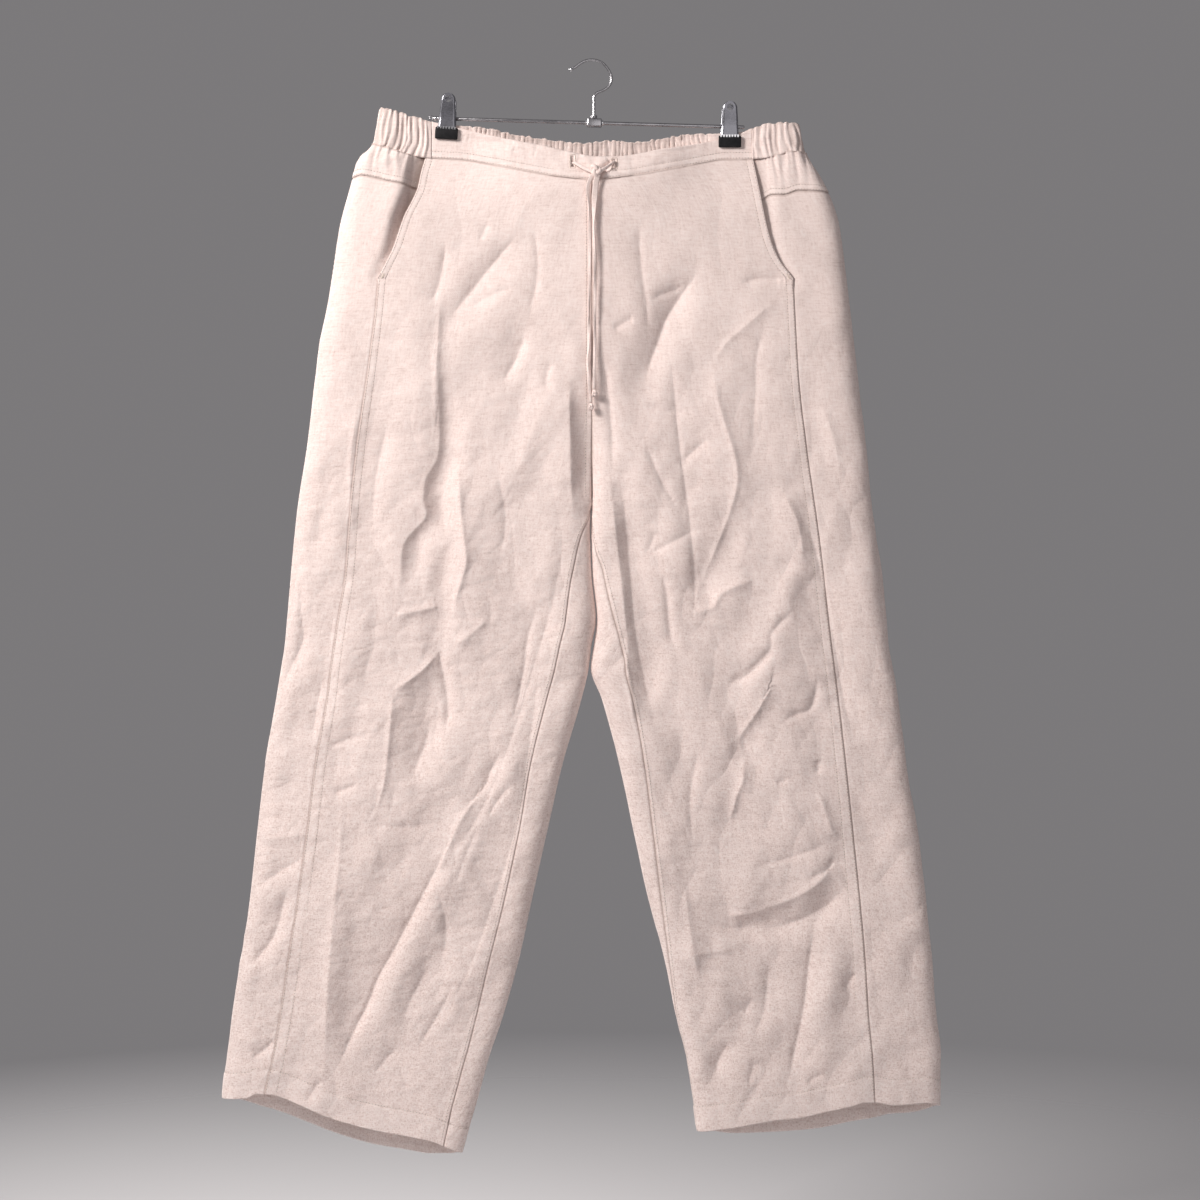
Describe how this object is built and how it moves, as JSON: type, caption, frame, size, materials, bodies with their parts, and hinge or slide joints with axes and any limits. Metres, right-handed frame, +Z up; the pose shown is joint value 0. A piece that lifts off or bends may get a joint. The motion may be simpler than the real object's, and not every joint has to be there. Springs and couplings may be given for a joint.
{
  "type": "linen drawstring trousers on a clip hanger",
  "caption": "Straight linen trousers with a drawstring waist, gathered elastic sides and back and slanted pockets, hung by the waistband from a steel clip hanger.",
  "frame": {"origin": "where the inside of the hanger's hook bears on the rod, nail or wall hook that carries it", "axes": "+Z up, front of the trousers faces -Y, +X to the right of someone who looks at the front"},
  "size_m": [0.7539, 0.048, 1.1579],
  "materials": {
    "linen": "matte slubbed plain-weave linen, natural cream",
    "gathered_linen": "the same linen, gathered over elastic",
    "tie_linen": "narrow tie of the same linen",
    "polished_steel": "polished",
    "clip_steel": "dark polished sheet steel",
    "black_rubber": "matte black"
  },
  "bodies": {
    "root": {"waistband_back": "gathered_linen", "waistband_front": "linen", "front_left": "linen", "front_right": "linen", "back_left": "linen", "back_right": "linen", "yoke_left": "linen", "yoke_right": "linen", "pocket_left": "linen", "pocket_right": "linen", "tie_run_left": "tie_linen", "tie_run_right": "tie_linen", "tie_knot": "tie_linen", "tie_end_left": "tie_linen", "tie_end_right": "tie_linen", "tie_tip_left": "tie_linen", "tie_tip_right": "tie_linen", "hanger_bar": "polished_steel", "hanger_clamp": "polished_steel", "hanger_collar": "polished_steel", "hanger_hook": "polished_steel", "hook_tip": "polished_steel", "clip_front_left": "clip_steel", "clip_back_left": "clip_steel", "clip_barrel_left": "clip_steel", "clip_front_right": "clip_steel", "clip_back_right": "clip_steel", "clip_barrel_right": "clip_steel", "pad_front_left": "black_rubber", "pad_back_left": "black_rubber", "pad_front_right": "black_rubber", "pad_back_right": "black_rubber"}
  },
  "joints": []
}
